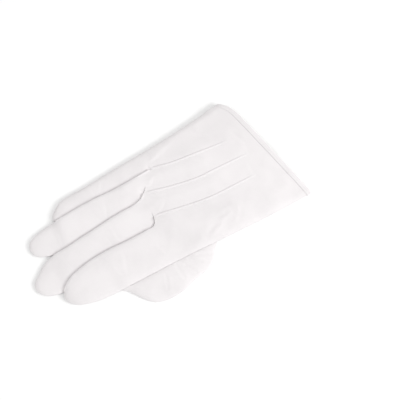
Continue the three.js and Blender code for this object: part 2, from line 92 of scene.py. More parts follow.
# Outlines, seen from above
THUMB_SIDE = [
    (-55.2, -12.4), (-55, 4), (-54, 34.7), (-52.4, 57.8), (-51, 78.5), (-49.9, 92.4), (-48.7, 112)]
LITTLE_SIDE = [(57.2, 12.9), (57, 24), (55.8, 38), (54.6, 57.8), (53.7, 75), (53, 98)]
FORK_INDEX_MIDDLE = (-3.4, 121.4)
FORK_MIDDLE_RING = (20.4, 118.2)
FORK_RING_LITTLE = (36.2, 102.4)
POINT_INDEX_MIDDLE = [
    (-16.9, -3.8), (-16.5, 16.2), (-15.3, 38.3), (-14.1, 63.7), (-12.1, 78.1), (-7.1, 101.2),
    (-3.6, 116), FORK_INDEX_MIDDLE]
POINT_MIDDLE_RING = [
    (3.2, 0.7), (4.2, 24), (5, 34), (6.1, 52), (7.1, 68), (11.7, 90.4), (18, 111.6), FORK_MIDDLE_RING]
POINT_RING_LITTLE = [
    (22.2, 5), (24, 34.3), (25.2, 44), (28.3, 65.2), (31, 82.4), (35.4, 98.5), FORK_RING_LITTLE]

INDEX_THUMB_SIDE = [
    (-48.7, 112), (-47.6, 133), (-46.8, 154), (-45.6, 182), (-44.5, 196), (-43.1, 203.4),
    (-40.8, 210.7), (-38.1, 217.6), (-34.2, 222.6), (-30.6, 224.9), (-26.5, 225.6)]
INDEX_FAR_SIDE = [
    FORK_INDEX_MIDDLE, (-8, 122.3), (-10.7, 126.3), (-10.5, 133.3), (-10, 151.8), (-8.7, 168.7),
    (-8.8, 186.1), (-10.8, 202.2), (-13.5, 212.5), (-17.7, 219.8), (-21.8, 223.6), (-26.5, 225.6)]
MIDDLE_THUMB_SIDE = [
    FORK_INDEX_MIDDLE, (-8.2, 122), (-12.6, 126.6), (-15.4, 134), (-16.6, 146), (-15.8, 171),
    (-17.8, 198), (-21.2, 214), (-21.6, 223), (-19.9, 231.6), (-17.7, 237.2), (-14.2, 241.4),
    (-10.2, 243.8), (-5.8, 244.3)]
MIDDLE_FAR_SIDE = [
    FORK_MIDDLE_RING, (16.8, 122.8), (15, 130.1), (15.2, 143.4), (14.8, 157.2), (13.8, 171.4),
    (13, 186.4), (12, 201.8), (11.9, 215.3), (10.6, 222.2), (7.6, 229.1), (3.6, 235.2), (0.2, 240.2),
    (-2.6, 243.1), (-5.8, 244.3)]
RING_THUMB_SIDE = [
    FORK_MIDDLE_RING, (16.2, 120.8), (12.2, 126), (9.8, 135), (9, 146), (8, 172), (8.6, 199), (11, 212),
    (14, 221.5), (17.6, 228.6), (21.2, 231.4), (26.2, 232.2)]
RING_FAR_SIDE = [
    FORK_RING_LITTLE, (36, 108), (36, 125.2), (36.3, 142.8), (37.6, 156.5), (38, 174), (37.6, 199.3),
    (37.1, 207.6), (36.2, 216.6), (34.6, 224.4), (31.4, 229.9), (26.2, 232.2)]
LITTLE_THUMB_SIDE = [
    FORK_RING_LITTLE, (33.8, 107), (31.8, 113), (31, 121), (31, 141), (31.4, 166), (32, 181),
    (33.6, 192), (36.4, 198.8), (40.2, 201.2)]
LITTLE_FAR_SIDE = [
    (53, 98), (52.9, 115.3), (52.3, 140.8), (51.5, 166.3), (51.8, 179), (50.6, 188.6), (46.4, 195.6),
    (43.4, 199.4), (40.2, 201.2)]
THUMB_OUTER = [
    (-25, 60.5), (-28.6, 60.8), (-33, 64), (-44, 76), (-55.5, 87.6), (-63.2, 93.1), (-67.6, 100),
    (-69.4, 110.4), (-70.9, 119.1), (-73.8, 131.7), (-73.6, 147), (-70, 157.4), (-64.3, 163.4),
    (-55.9, 169.4), (-49.6, 173.8), (-45.2, 178.8), (-41.8, 180.8)]
THUMB_INNER = [
    (-25, 60.5), (-23.6, 63), (-24.6, 68), (-30, 82), (-35.4, 93.7), (-36.8, 104), (-40, 115.5),
    (-42.8, 131.5), (-44, 146), (-43.5, 158), (-41.6, 168), (-39.9, 176), (-41.8, 180.8)]

# Palm side: lines that its cloth is laid out along, beside the vent
PALM_LINE_INDEX = [(-34, -7.6), (-30, 35), (-20, 70), (-8, 104), FORK_INDEX_MIDDLE]
PALM_LINE_VENT = [(0, VENT_LENGTH), (3, 88), (12, 105), FORK_MIDDLE_RING]
PALM_LINE_LITTLE = [(36, 8.1), (33, 40), (33.6, 80), FORK_RING_LITTLE]

# Heights over the floor of the back and of the side seams, by the distance from the hem
BACK_RISE = [
    (-20, 10.4), (0, 10.7), (16, 11), (35, 10.8), (58, 10.2), (78, 9.4), (92, 8.6), (104, 7.9),
    (118, 7.3), (140, 6.9), (260, 6.8)]
SIDE_SEAM = [(-20, 6), (0, 6), (20, 5.8), (45, 5), (80, 4.2), (110, 3.6), (150, 3.1), (260, 2.9)]

# Soft folds: x and y of both ends, spread to each side, rise
SOFT_FOLDS = [
    (-29.5, 64, -45, 97, 5, 0.75), (-24, 58, -41, 88, 3.6, -0.55), (-36, 35, 44, 41, 11, -0.55),
    (-2, 52, 4, 98, 6.5, 0.5), (18, 58, 26, 92, 5, 0.45), (43, 28, 41, 80, 7, -0.5),
    (-6, 2, 25, 12, 9, 0.5), (-38, 8, -30, 34, 7, 0.5), (44, 96, 49, 76, 3.2, 0.45),
    (-22, 112, -36, 122, 4.5, 0.35), (8, 108, 5, 126, 4, 0.35), (28, 100, 26, 122, 3.6, 0.35)]

# Fine creases: x and y of both ends, width, depth
CREASES = [
    (-40, 128, -26, 131, 1.5, 0.22), (-36, 165, -16, 161, 1.6, 0.2), (-38, 170, -20, 172, 1.3, 0.15),
    (-8, 160, 10, 157, 1.5, 0.2), (-9, 166, 7, 169, 1.3, 0.14), (-12, 205, 3, 208, 1.4, 0.15),
    (15, 158, 32, 154, 1.5, 0.2), (17, 166, 33, 168, 1.3, 0.14), (16, 205, 30, 203, 1.4, 0.15),
    (39, 150, 50, 147, 1.3, 0.18), (40, 157, 49.5, 160, 1.2, 0.14), (-7, 117, -18, 108, 1.8, 0.3),
    (-2, 116, 3, 104, 1.6, 0.22), (16, 112, 8, 103, 1.7, 0.28), (23, 112, 27, 102, 1.5, 0.2),
    (33, 97, 29, 88, 1.6, 0.25), (39.5, 98, 44, 88, 1.5, 0.22), (-30, 60, -35.5, 72, 2.2, 0.55),
    (-35.5, 72, -43.5, 87, 2.2, 0.52), (-43.5, 87, -45.5, 98, 2, 0.4), (-46, 60, -34, 47, 2.2, 0.25),
    (48, 52, 34, 44, 2.2, 0.25), (-20, 25, -4, 22, 2, 0.2), (10, 18, 28, 22, 2, 0.2)]
THUMB_CREASES = [
    (-66, 112, -54, 118, 1.6, 0.35), (-64, 124, -50, 125, 1.8, 0.3), (-66, 142, -53, 137, 1.6, 0.25),
    (-58, 92, -52, 104, 1.8, 0.45), (-60, 104, -51, 113, 1.5, 0.35)]

# Columns across a strip of cloth: beside a seam, where the first is tucked in under the second,
# beside a line that two strips share, and evenly between
NEAR_SEAM = np.array([0.38, 0.0, 0.22, 0.62, 1.2, 2.0, 3.1])
NEAR_SHARED = np.array([0.0, 0.32, 0.62, 0.95, 1.4, 2.1, 3.1])
MIDDLE_COLUMNS = 20
COLUMNS = 2 * len(NEAR_SEAM) + MIDDLE_COLUMNS
LAST = COLUMNS - 1
FULL_STRIP = 8.0
HAND_ROWS = 104
FINGER_ROWS = 104
VENT_ROWS = int(HAND_ROWS * 0.62)
STRIPS = 4
NOTHING = 1e-9


# Measuring and easing


def at(table, y):
    """Value of a two-column table, straight between its rows."""
    return np.interp(y, [row[0] for row in table], [row[1] for row in table])


def ease(value, start, end):
    """Soft step from 0 at the start to 1 at the end."""
    share = np.clip((value - start) / (end - start), 0, 1)
    return share * share * (3 - 2 * share)


def bell(distance, width):
    """Bell curve: 1 at no distance, almost 0 at twice the width."""
    return np.exp(-(distance / width) ** 2)


def round_edge(share):
    """Quarter circle from 0 at an edge to 1."""
    share = np.clip(share, 0, 1)
    return np.sqrt(1 - (1 - share) ** 2)


def dome(share, power=2.3):
    """As a quarter circle, but fuller at its shoulder."""
    share = np.clip(share, 0, 1)
    return (1 - (1 - share) ** power) ** (1 / power)


def distance_along(line):
    return np.concatenate([[0], np.cumsum(np.linalg.norm(np.diff(line, axis=0), axis=1))])


def smooth_line(points, count):
    """Evenly spaced points of a smooth curve through a line's corners."""
    p = np.array(points, float)
    p = np.vstack([2 * p[0] - p[1], p, 2 * p[-1] - p[-2]])
    dense = []
    for i in range(1, len(p) - 2):
        knots = [0.0]
        for j in range(3):
            knots.append(knots[-1] + max(np.linalg.norm(p[i + j] - p[i + j - 1]), 1e-6) ** 0.5)
        t = np.linspace(knots[1], knots[2], 40, endpoint=False)[:, None]
        a = [((knots[j + 1] - t) * p[i + j - 1] + (t - knots[j]) * p[i + j]) / (knots[j + 1] - knots[j])
             for j in range(3)]
        b = [((knots[j + 2] - t) * a[j] + (t - knots[j]) * a[j + 1]) / (knots[j + 2] - knots[j])
             for j in range(2)]
        dense.append(((knots[2] - t) * b[0] + (t - knots[1]) * b[1]) / (knots[2] - knots[1]))
    dense = np.vstack(dense + [p[-2:-1]])
    along = distance_along(dense)
    stops = np.linspace(0, along[-1], count)
    return np.column_stack([np.interp(stops, along, dense[:, k]) for k in range(dense.shape[1])])


def away(points, line):
    """Distance of each point to a line in the plan."""
    a, b = line[:-1], line[1:]
    ab = b - a
    span = np.maximum((ab ** 2).sum(1), NOTHING)
    share = np.clip(((points[:, None, :] - a) * ab).sum(2) / span, 0, 1)
    gap = points[:, None, :] - (a + share[:, :, None] * ab)
    return np.sqrt((gap ** 2).sum(2).min(1))


def away_from_segment(points, x0, y0, x1, y1):
    return away(points, np.array([(x0, y0), (x1, y1)], float))


def unit(vectors):
    """Vectors in rows, each made one long."""
    return vectors / np.maximum(np.linalg.norm(vectors, axis=-1, keepdims=True), NOTHING)


def soften(values, reach):
    """Running mean with its ends kept."""
    padded = np.concatenate([np.full(reach, values[0]), values, np.full(reach, values[-1])])
    kernel = np.hanning(2 * reach + 3)[1:-1]
    return np.convolve(padded, kernel / kernel.sum(), "valid")


def ripple(points, scale, seed):
    return np.array([noise.noise(Vector((p[0] / scale, p[1] / scale, seed))) for p in points])


def tree_of(vertices, faces):
    return BVHTree.FromPolygons([tuple(v) for v in vertices], [tuple(int(i) for i in f) for f in faces])


def on_cloth(tree, x, y, from_below=False):
    """Where the cloth is met from above, or from below, or None past its edge."""
    start = Vector((x, y, FAR_BELOW if from_below else FAR_ABOVE))
    return tree.ray_cast(start, UP if from_below else -UP)[0]


def height_over(tree, points, fall=1.1):
    """Height of the cloth below each point, falling away past its edge."""
    heights = []
    for x, y in points:
        hit = on_cloth(tree, x, y)
        if hit is None:
            near = tree.find_nearest(Vector((x, y, 2.0)))[0]
            heights.append(near.z - fall * math.hypot(near.x - x, near.y - y))
        else:
            heights.append(hit.z)
    return np.array(heights)


# Laying out the cloth: rows along the hand and fingers, rungs across them


def rung(left, right, left_seam, right_seam):
    """Points between two edges, each edge a seam (1) or a shared line (0), and their shares across."""
    wide = np.linalg.norm(right - left)
    fit = min(1.0, wide / FULL_STRIP)
    start = (NEAR_SHARED + (NEAR_SEAM - NEAR_SHARED) * left_seam) * fit
    end = (NEAR_SHARED + (NEAR_SEAM - NEAR_SHARED) * right_seam) * fit
    middle = np.linspace(start[-1], wide - end[-1], MIDDLE_COLUMNS + 2)[1:-1]
    places = np.concatenate([start, middle, (wide - end)[::-1]])
    return left + places[:, None] * unit(right - left), places / max(wide, NOTHING)


def hand_plan(left_edges, right_edges):
    """Points of one side of the hand, by strip, row and column."""
    return [[rung(left_edges[j][r], right_edges[j][r], float(j == 0), float(j == STRIPS - 1))[0]
             for r in range(HAND_ROWS + 1)] for j in range(STRIPS)]


def finger_plan(k):
    """Points of a finger by row and column, and each point's share of the way across."""
    left, right = finger_lines[k]
    rungs = []
    for v in range(FINGER_ROWS + 1):
        past_fork = ease(v, 0, 4)
        rungs.append(rung(left[v], right[v], 1.0 if k == 0 else past_fork, 1.0 if k == 3 else past_fork))
    return np.array([points for points, _ in rungs]), np.array([shares for _, shares in rungs])


def finger_run(k):
    """Distance of each row of a finger from its fork."""
    return np.linspace(0, distance_along(finger_lines[k][0])[-1], FINGER_ROWS + 1)


def finger_borders(k):
    """Both edges of a finger; the outer ones run on down the hand."""
    left, right = finger_lines[k]
    if k == 0:
        left = np.vstack([left_line, left])
    if k == 3:
        right = np.vstack([right_line, right])
    return left, right


def hand_key(j, r, c):
    """Grid key on the hand; the last column of a strip is the first of the next."""
    return ("hand", j + 1, r, 0) if c == LAST and j < STRIPS - 1 else ("hand", j, r, c)


def palm_key(j, r, c):
    """As on the back, but the two flaps share their line only past the end of the vent."""
    return ("hand", 1, r, LAST) if (j, c) == (1, LAST) and r < VENT_ROWS else hand_key(j, r, c)


def finger_key(k, v, c):
    """Grid key on a finger, which starts at the hand's last row and ends in one point."""
    if v == 0:
        return hand_key(k, HAND_ROWS, c)
    return ("tip", k) if v == FINGER_ROWS else ("finger", k, v, c)


def bend_corner(points):
    """Draws up the hem's corner at the little finger's side, as in the cut of the cloth."""
    reach = np.clip((points[:, 0] - 36.0) / 21.2, 0, 1.1) ** 3
    points[:, 1] += HEM_CORNER * reach * (1 - ease(points[:, 1], 14, 44))


class Cloth:
    """One side of the glove as it is laid out, with the vertex of each grid key."""

    def __init__(self):
        self.vertices = []
        self.faces = []
        self.vertex_of = {}

    def put(self, key, point, height):
        if key not in self.vertex_of:
            self.vertex_of[key] = len(self.vertices)
            self.vertices.append((point[0], point[1], height))

    def place(self, key):
        return np.array(self.vertices[self.vertex_of[key]])

    def face(self, key_of, part, row, column, upwards):
        """One face of the grid, with the corners that meet in a fingertip merged."""
        corners = [(row, column), (row, column + 1), (row + 1, column + 1), (row + 1, column)]
        if not upwards:
            corners.reverse()
        return merged([self.vertex_of[key_of(part, *corner)] for corner in corners])

    def put_hand(self, keys, points, heights):
        for key, point, height in zip(keys, points, heights):
            self.put(key, point, height)

    def put_finger(self, k, heights, seam, tip_height, upwards):
        """Adds a finger, with its edges at the seam's height, and returns its faces."""
        rows = finger_plans[k][0]
        heights = heights.reshape(rows.shape[:2])
        seam = seam.reshape(rows.shape[:2])
        heights[:, 0], heights[:, -1] = seam[:, 0], seam[:, -1]
        for v in range(1, FINGER_ROWS):
            for c in range(COLUMNS):
                self.put(finger_key(k, v, c), rows[v, c], heights[v, c])
        self.put(("tip", k), rows[-1].mean(0), tip_height)
        faces = [self.face(finger_key, k, v, c, upwards) for v in range(FINGER_ROWS) for c in range(LAST)]
        self.faces += faces
        return faces


def merged(face):
    """A face without the corners that repeat."""
    return [i for n, i in enumerate(face) if i not in face[:n]]


def hand_points(plan, key_of):
    """Points and keys of one side of the hand, each shared line once, and which are on a side seam."""
    points, keys, on_seam = [], [], []
    for r in range(HAND_ROWS + 1):
        for j in range(STRIPS):
            for c in range(COLUMNS):
                key = key_of(j, r, c)
                if key[1] == j:
                    points.append(plan[j][r][c])
                    keys.append(key)
                    on_seam.append((j, c) in ((0, 0), (STRIPS - 1, LAST)))
    points = np.array(points)
    bend_corner(points)
    return points, keys, np.array(on_seam)


left_line = smooth_line(THUMB_SIDE, HAND_ROWS + 1)
right_line = smooth_line(LITTLE_SIDE, HAND_ROWS + 1)
point_lines = [smooth_line(line, HAND_ROWS + 1)
               for line in (POINT_INDEX_MIDDLE, POINT_MIDDLE_RING, POINT_RING_LITTLE)]
finger_lines = [
    [smooth_line(side, FINGER_ROWS + 1) for side in sides] for sides in (
        (INDEX_THUMB_SIDE, INDEX_FAR_SIDE), (MIDDLE_THUMB_SIDE, MIDDLE_FAR_SIDE),
        (RING_THUMB_SIDE, RING_FAR_SIDE), (LITTLE_THUMB_SIDE, LITTLE_FAR_SIDE))]
finger_plans = [finger_plan(k) for k in range(4)]
forks = np.array([FORK_INDEX_MIDDLE, FORK_MIDDLE_RING, FORK_RING_LITTLE])
ROWS_UP_FINGER = 50
left_outline = np.vstack([left_line, finger_lines[0][0][:ROWS_UP_FINGER]])
right_outline = np.vstack([right_line, finger_lines[3][1][:ROWS_UP_FINGER]])


def away_from_sides(points):
    return np.minimum(away(points, left_outline), away(points, right_outline))


def away_from_forks(points, stretch=(1.0, 1.0)):
    return np.min([np.linalg.norm((points - fork) * stretch, axis=1) for fork in forks], axis=0)


def fold_rise(points):
    """Soft folds, fine creases and a slight unevenness of the cloth."""
    rise = np.zeros(len(points))
    for x0, y0, x1, y1, spread, height in SOFT_FOLDS:
        rise += height * bell(away_from_segment(points, x0, y0, x1, y1), spread)
    for x0, y0, x1, y1, width, depth in CREASES:
        start, end = np.array((x0, y0)), np.array((x1, y1))
        length = np.linalg.norm(end - start)
        way = (end - start) / length
        along = (points - start) @ way / length
        bend = 1.2 * np.sin(3.0 * along + x0)
        across = (points - start) @ np.array((-way[1], way[0])) - bend
        fade = ease(along, -0.12, 0.25) * (1 - ease(along, 0.7, 1.12))
        rise += depth * fade * (bell(across - width, width) - 1.2 * bell(across, width))
    return rise + 0.34 * ripple(points, 26.0, 1.7) + 0.16 * ripple(points, 10.0, 4.1)


# Thumb: one closed flat sleeve with its root under the edge of the palm
WAY_IN = (-40.5, 85.0)
WAY_IN_LEAN = 0.46
WAY_IN_HALF = (4.0, 7.0)
THUMB_SEAM = 0.9
THUMB_SEAM_RISE = 0.9
THUMB_ROOT_CROWN = 0.35
THUMB_CROWN_RISE = 2.55
THUMB_CROWN_REACH = 13.0


def thumb_way_in(point):
    """Where the thumb's hollow opens into the hand's: a leaning oval."""
    along = point[1] - WAY_IN[1]
    across = point[0] - WAY_IN[0] + WAY_IN_LEAN * along
    return (across / WAY_IN_HALF[0]) ** 2 + (along / WAY_IN_HALF[1]) ** 2 < 1


def sleeve(rows, top, low, seam):
    """Closed sleeve of two layers that share their side seams and ends, open at the way in."""
    count, wide = rows.shape[:2]
    top, low, seam = (layer.reshape(count, wide) for layer in (top, low, seam))
    vertices = [(*rows[0].mean(0), seam[0, 0]), (*rows[-1].mean(0), seam[-1, 0])]
    upper = np.zeros((count, wide), int)
    lower = np.zeros((count, wide), int)
    upper[-1, :] = lower[-1, :] = 1
    for v in range(1, count - 1):
        for c in range(wide):
            x, y = rows[v, c]
            edge = c in (0, wide - 1)
            upper[v, c] = lower[v, c] = len(vertices)
            vertices.append((x, y, seam[v, c] if edge else top[v, c]))
            if not edge:
                lower[v, c] = len(vertices)
                vertices.append((x, y, low[v, c]))
    faces = []
    for v in range(count - 1):
        for c in range(wide - 1):
            corners = ((v, c), (v, c + 1), (v + 1, c + 1), (v + 1, c))
            faces.append(merged([lower[corner] for corner in corners[::-1]]))
            if not thumb_way_in((rows[v, c] + rows[v + 1, c + 1]) / 2):
                faces.append(merged([upper[corner] for corner in corners]))
    return np.array(vertices), faces


def thumb_sleeve():
    outer = smooth_line(THUMB_OUTER, FINGER_ROWS + 1)
    inner = smooth_line(THUMB_INNER, FINGER_ROWS + 1)
    rows = np.array([rung(outer[v], inner[v], 1.0, 1.0)[0] for v in range(FINGER_ROWS + 1)])
    points = rows.reshape(-1, 2)
    edge = away(points, np.vstack([outer, inner[::-1]]))
    along = np.repeat(np.linspace(0, 1, FINGER_ROWS + 1), COLUMNS)
    seam = THUMB_SEAM + THUMB_SEAM_RISE * ease(along, 0.0, 0.3)
    fullness = THUMB_ROOT_CROWN + THUMB_CROWN_RISE * ease(along, 0.02, 0.42)
    crown = seam + fullness * dome(edge / THUMB_CROWN_REACH)
    crown += 0.30 * ripple(points, 9.0, 7.7) * ease(edge, 0.5, 5.0)
    for x0, y0, x1, y1, width, depth in THUMB_CREASES:
        across = away_from_segment(points, x0, y0, x1, y1)
        crown += depth * (bell(across - width, width) - 1.1 * bell(across, width))
    rounding = round_edge(edge / UNDER_ROUND)
    upper_lip = seam + SEAM_LIP
    lower_lip = seam - SEAM_LIP
    top = upper_lip + (crown - upper_lip) * rounding
    low = np.maximum(lower_lip - (lower_lip - FLOOR_CLEAR) * rounding, FLOOR_CLEAR)
    return sleeve(rows, top, low, seam)


thumb_vertices, thumb_faces = thumb_sleeve()
thumb_tree = tree_of(thumb_vertices, thumb_faces)


# Heights that the hand's two sides share


def seam_over_thumb(line, reach):
    """Height of the side seam at the thumb's side, lifted where the thumb lies under it."""
    lifted = height_over(thumb_tree, line) + SEAM_OVER_THUMB
    return soften(np.maximum(at(SIDE_SEAM, line[:, 1]), lifted), reach)


left_seam = seam_over_thumb(left_line, 5)
right_seam = at(SIDE_SEAM, right_line[:, 1])
HAND_EDGE = -50.0
HAND_WIDTH = 103.0


def side_chord(points):
    """Height of a straight line from one side seam to the other."""
    y = points[:, 1]
    low = np.interp(y, left_line[:, 1], left_seam)
    high = np.interp(y, right_line[:, 1], right_seam)
    share = np.clip((points[:, 0] - HAND_EDGE) / HAND_WIDTH, 0, 1)
    return low + (high - low) * share


def seam_level(points, fork_height):
    """The side seams' level all over the hand, drawn to the forks' height at the forks."""
    lift = np.zeros(len(points))
    for fork in forks:
        step = fork_height - side_chord(fork[None, :])[0]
        lift += step * bell(np.linalg.norm(points - fork, axis=1), FORK_REACH)
    return side_chord(points) + lift


def back_level(points):
    return seam_level(points, FORK_HEIGHT)


def palm_level(points):
    return seam_level(points, FORK_HEIGHT - FORK_DROP + UNDER_GAP) - UNDER_GAP


def finger_level(k, edge_heights, hand_level):
    """The seam's level all over a finger: the hand's own, drawn to the heights of both edges."""
    rows, shares = finger_plans[k]
    share = shares.reshape(-1)
    near_step, far_step = [np.repeat(heights - hand_level(line), COLUMNS)
                           for heights, line in zip(edge_heights, finger_lines[k])]
    return hand_level(rows.reshape(-1, 2)) + (1 - share) * near_step + share * far_step


# Back of the hand and fingers
POINT_FADES = [(20, 34), (16, 32), (26, 42)]
POINT_HALF = 0.75
POINT_HEIGHT = 0.72
CROWNS = [2.3, 2.2, 2.3, 2.9]
CROWN_REACH = 11.0
SEWN_ROWS = slice(40, 96)


def hand_dome(points):
    """The back's even crown from side to side."""
    base = side_chord(points)
    reach = 46.0 - 22.0 * ease(points[:, 1], 40, 118)
    return base + (at(BACK_RISE, points[:, 1]) - base) * dome(away_from_sides(points) / reach)


def point_rise(points):
    """The three raised points: narrow tucks that fade towards the wrist."""
    rise = np.zeros(len(points))
    for line, (fade_from, fade_to) in zip(point_lines, POINT_FADES):
        d = away(points, line)
        end = line[-1, 1]
        fade = ease(points[:, 1], fade_from, fade_to) * (1 - ease(points[:, 1], end - 5.5, end - 2.0))
        tuck = POINT_HEIGHT * np.exp(-(d / POINT_HALF) ** 4) - 0.22 * bell(d - 1.35, 0.55)
        rise += fade * (0.62 + 0.38 * ease(points[:, 1], 30, 90)) * tuck
    return rise


def fork_dip(points):
    """How far the back sinks round the forks, in ovals along the hand."""
    return FORK_DIP * bell(away_from_forks(points, (1.0, 0.62)), FORK_DIP_REACH)


def lay_back_of_hand(cloth):
    edges = [left_line, *point_lines, right_line]
    points, keys, on_seam = hand_points(hand_plan(edges[:-1], edges[1:]), hand_key)
    side, fork = away_from_sides(points), away_from_forks(points)
    seam = back_level(points)
    lip = seam + SEAM_LIP * ease(fork, 0, 3)
    body = hand_dome(points) - fork_dip(points) + fold_rise(points) * ease(side, 0.5, 7.0)
    body += point_rise(points)
    side_round = 5.0 - 2.6 * ease(points[:, 1], 10, 100)
    rounding = np.minimum(round_edge(side / side_round), round_edge(fork / 2.2))
    cloth.put_hand(keys, points, np.where(on_seam, seam, lip + (body - lip) * rounding))
    cloth.faces += [cloth.face(hand_key, j, r, c, True)
                    for r in range(HAND_ROWS) for j in range(STRIPS) for c in range(LAST)]


def finger_edge_heights(k, neighbour):
    """Heights of a finger's two seams: the thumb's side is tucked under, the other one lies on top."""
    near_line, far_line = finger_lines[k]
    run = finger_run(k)
    if k == 0:
        near = seam_over_thumb(near_line, 6)
    else:
        near = TUCKED_SEAM + (FORK_HEIGHT - TUCKED_SEAM) * (1 - ease(run, 0, 11))
        near += 0.5 * ease(run, run[-1] - 22, run[-1])
    if neighbour is None:
        far = at(SIDE_SEAM, far_line[:, 1])
    else:
        far = soften(np.maximum(LAPPED_SEAM, height_over(neighbour, far_line) + LAP_OVER_FINGER), 5)
        far = FORK_HEIGHT + (far - FORK_HEIGHT) * ease(run, 0, 3.5)
    tip = (near[-8] + far[-8]) / 2
    to_tip = ease(run, run[-1] - 16, run[-1])
    return near + (tip - near) * to_tip, far + (tip - far) * to_tip


def lay_finger_back(cloth, k, edge_heights, neighbour):
    """Back of one finger, crowned, and its tree for the next finger to lie on."""
    points = finger_plans[k][0].reshape(-1, 2)
    run = np.repeat(finger_run(k), COLUMNS)
    near, far = [away(points, border) for border in finger_borders(k)]
    edge = np.minimum(near, far)
    seam = finger_level(k, edge_heights, back_level)
    crown = seam + CROWNS[k] * dome(edge / CROWN_REACH)
    grown = ease(run, 0, 26)
    body = hand_dome(points) * (1 - grown) + crown * grown - fork_dip(points)
    body += fold_rise(points) * ease(edge, 0.4, 4.0)
    if k == 0:
        sewn = away(points, finger_lines[0][1][SEWN_ROWS])
        body -= 0.22 * bell(sewn - 3.2, 0.55) * ease(run, 40, 70)
    near_round = EDGE_ROUND + (0 if k == 0 else 4.5) * (1 - ease(run, 4, 24))
    rounding = np.minimum(round_edge(near / near_round), round_edge(far / EDGE_ROUND))
    pucker = 0.07 * np.sin(run / 0.85) * bell(edge - 1.6, 1.3)
    lip = seam + SEAM_LIP * ease(run, 0, 4)
    heights = lip + (body - lip) * rounding + pucker
    if neighbour is not None:
        heights = np.maximum(heights, height_over(neighbour, points, LAYER_FALL) + LAYER_CLEAR + 2 * CLOTH)
    faces = cloth.put_finger(k, heights, seam, edge_heights[0][-1], True)
    return tree_of(cloth.vertices, faces)


back_cloth = Cloth()
lay_back_of_hand(back_cloth)
finger_seams = {}
finger_trees = {}
for finger in (3, 2, 1, 0):
    below = finger_trees.get(finger + 1)
    finger_seams[finger] = finger_edge_heights(finger, below)
    finger_trees[finger] = lay_finger_back(back_cloth, finger, finger_seams[finger], below)
back_tree = tree_of(back_cloth.vertices, back_cloth.faces)

# Palm side, with the vent between two round flaps
CORNER_STEPS = 9


def vent_side(sign):
    """Edge of one flap, from its round corner at the hem to the end of the vent."""
    half = VENT_MOUTH / 2
    corner = []
    for i in range(CORNER_STEPS + 1):
        turn = math.pi / 2 * (1 - i / CORNER_STEPS)
        corner.append((half + FLAP_CORNER * (1 - math.cos(turn)), FLAP_CORNER * (1 - math.sin(turn))))
    straight = [(half + (VENT_END / 2 - half) * s, FLAP_CORNER + (VENT_LENGTH - 1 - FLAP_CORNER) * s)
                for s in (0.25, 0.5, 0.75, 1.0)]
    line = [(sign * x, y + HEM_SLANT * sign * x) for x, y in corner + straight]
    return line + [(0.0, VENT_LENGTH)]


beyond_vent = smooth_line(PALM_LINE_VENT, HAND_ROWS + 1 - VENT_ROWS)
thumb_flap, little_flap = [
    np.vstack([smooth_line(vent_side(sign), VENT_ROWS), beyond_vent]) for sign in (-1, 1)]
palm_index_line = smooth_line(PALM_LINE_INDEX, HAND_ROWS + 1)
palm_little_line = smooth_line(PALM_LINE_LITTLE, HAND_ROWS + 1)
hem_outline = np.vstack([
    left_line[:1], palm_index_line[:1], thumb_flap[:VENT_ROWS], little_flap[:VENT_ROWS][::-1],
    palm_little_line[:1], right_line[:1]])


def ground(points):
    """How the palm cloth lies: on the floor, on the snap's heads, over the thumb."""
    low = FLOOR_CLEAR + 0.65 * bell(away(points, hem_outline), 5.0)
    for sign in (-1, 1):
        from_snap = np.linalg.norm(points - (sign * SNAP_FROM_VENT, SNAP_FROM_HEM), axis=1)
        low += 1.35 * (1 - ease(from_snap, 5.5, 20.0))
    low = np.minimum(low, 1.75)
    near = (points[:, 0] < -18) & (points[:, 1] > 50) & (points[:, 1] < 195)
    if near.any():
        low[near] = np.maximum(low[near], height_over(thumb_tree, points[near], LAYER_FALL) + SEAM_LIP)
    return low


def resting_height(points, wave):
    """The palm cloth's height where it rests, with its slight unevenness."""
    return ground(points) + 0.10 * (1 + ripple(points, wave, 9.3)) + 0.05 * (1 + ripple(points, 5.0, 3.9))


def lay_palm_of_hand(cloth):
    plan = hand_plan([left_line, palm_index_line, little_flap, palm_little_line],
                     [palm_index_line, thumb_flap, palm_little_line, right_line])
    points, keys, on_seam = hand_points(plan, palm_key)
    side, fork = away_from_sides(points), away_from_forks(points)
    seam = palm_level(points)
    lip = seam - SEAM_LIP * ease(fork, 0, 3)
    side_round = 4.2 - 1.8 * ease(points[:, 1], 10, 100)
    rounding = np.minimum(round_edge(side / side_round), round_edge(fork / UNDER_ROUND))
    heights = lip + (resting_height(points, 14.0) - lip) * rounding
    cloth.put_hand(keys, points, np.where(on_seam, seam, np.maximum(heights, FLOOR_CLEAR)))
    for r in range(HAND_ROWS):
        for j in range(STRIPS):
            for c in range(LAST):
                if not thumb_way_in((plan[j][r][c] + plan[j][r + 1][c + 1]) / 2):
                    cloth.faces.append(cloth.face(palm_key, j, r, c, False))


